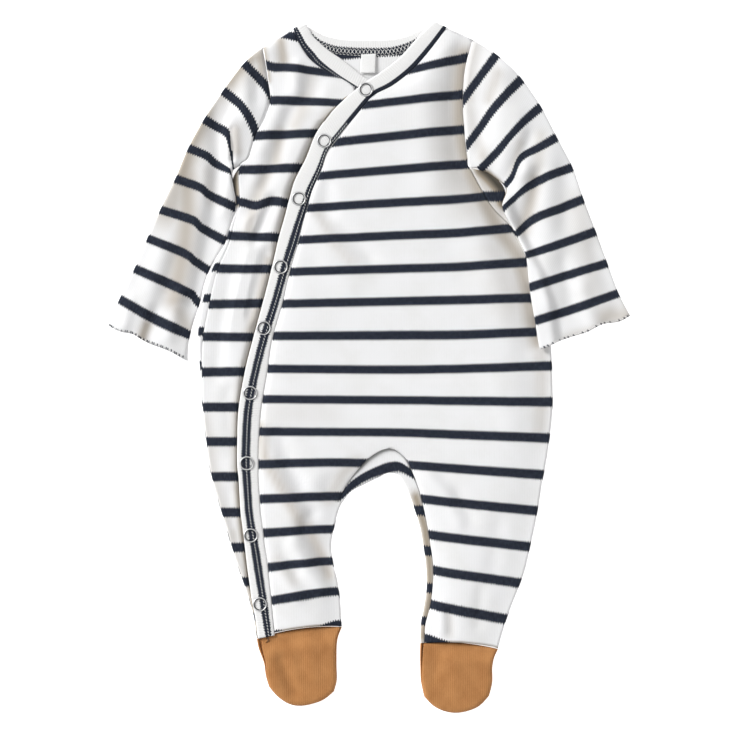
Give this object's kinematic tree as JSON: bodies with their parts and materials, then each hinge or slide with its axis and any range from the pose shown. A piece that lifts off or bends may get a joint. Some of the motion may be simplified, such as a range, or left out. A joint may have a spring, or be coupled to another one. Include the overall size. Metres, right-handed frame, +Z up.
{
  "type": "footed baby romper, laid flat",
  "caption": "Long-sleeved footed baby romper in striped rib knit, laid flat: crossed front closed by ring snaps from the neck to one foot, plain ribbed feet.",
  "frame": {"origin": "centre of the laid garment's outline, on the surface that it lies on", "axes": "+Z up from the surface, out of the front; +Y towards the neck; +X towards the wearer's left side"},
  "size_m": [0.403, 0.5326, 0.0085],
  "materials": {
    "striped_rib": "matt off-white cotton rib knit with narrow navy stripes across",
    "band_rib": "matt off-white cotton rib binding with a navy strip along it",
    "tan_rib": "matt tan cotton rib knit",
    "snap_metal": "bright nickel-plated prong snap",
    "label_satin": "white woven satin tape, bare"
  },
  "bodies": {
    "root": {"back_body": "striped_rib", "front_left": "striped_rib", "front_right": "striped_rib", "sleeve_right": "striped_rib", "sleeve_left": "striped_rib", "over_band": "band_rib", "neck_band_right": "band_rib", "neck_band_back": "band_rib", "under_placket": "band_rib", "foot_upper_right": "tan_rib", "foot_sole_right": "tan_rib", "foot_upper_left": "tan_rib", "foot_sole_left": "tan_rib", "snap_ring_1": "snap_metal", "snap_ring_2": "snap_metal", "snap_ring_3": "snap_metal", "snap_ring_4": "snap_metal", "snap_ring_5": "snap_metal", "snap_ring_6": "snap_metal", "snap_ring_7": "snap_metal", "snap_ring_8": "snap_metal", "snap_ring_9": "snap_metal", "snap_stud_1": "snap_metal", "snap_stud_2": "snap_metal", "snap_stud_3": "snap_metal", "snap_stud_4": "snap_metal", "snap_stud_5": "snap_metal", "snap_stud_6": "snap_metal", "snap_stud_7": "snap_metal", "snap_stud_8": "snap_metal", "snap_stud_9": "snap_metal", "neck_label": "label_satin"}
  },
  "joints": []
}
